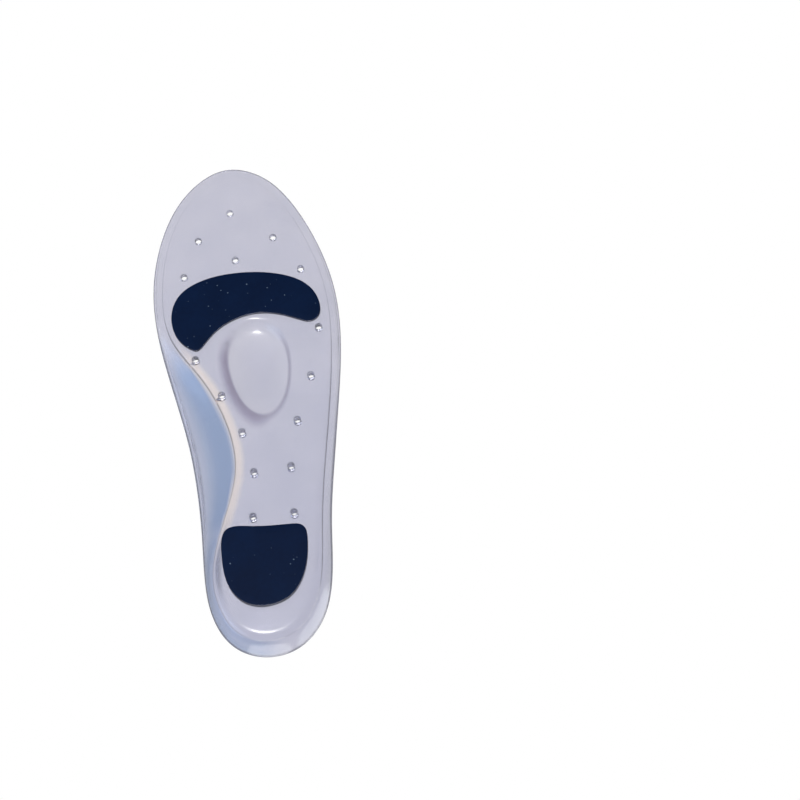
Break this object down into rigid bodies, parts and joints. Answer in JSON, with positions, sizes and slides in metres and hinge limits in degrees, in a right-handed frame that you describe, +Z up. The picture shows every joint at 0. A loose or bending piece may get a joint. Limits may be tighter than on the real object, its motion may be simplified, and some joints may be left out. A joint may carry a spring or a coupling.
{
  "type": "cushioned insole",
  "caption": "Full-length clear gel shoe insole with arch support, heel cup, metatarsal dome, vent holes and soft dark pads under the ball and heel.",
  "frame": {"origin": "on the flat sole, under the middle of the insole's length and width", "axes": "+Z up from the sole, +Y towards the toes, +X towards the big-toe (medial) side of a left foot"},
  "size_m": [0.0861, 0.25, 0.0207],
  "materials": {
    "clear_gel": "satin translucent silicone gel",
    "soft_pad": "matte soft silicone"
  },
  "bodies": {
    "root": {"gel_body": "clear_gel", "metatarsal_pad": "soft_pad", "heel_pad": "soft_pad"}
  },
  "joints": []
}
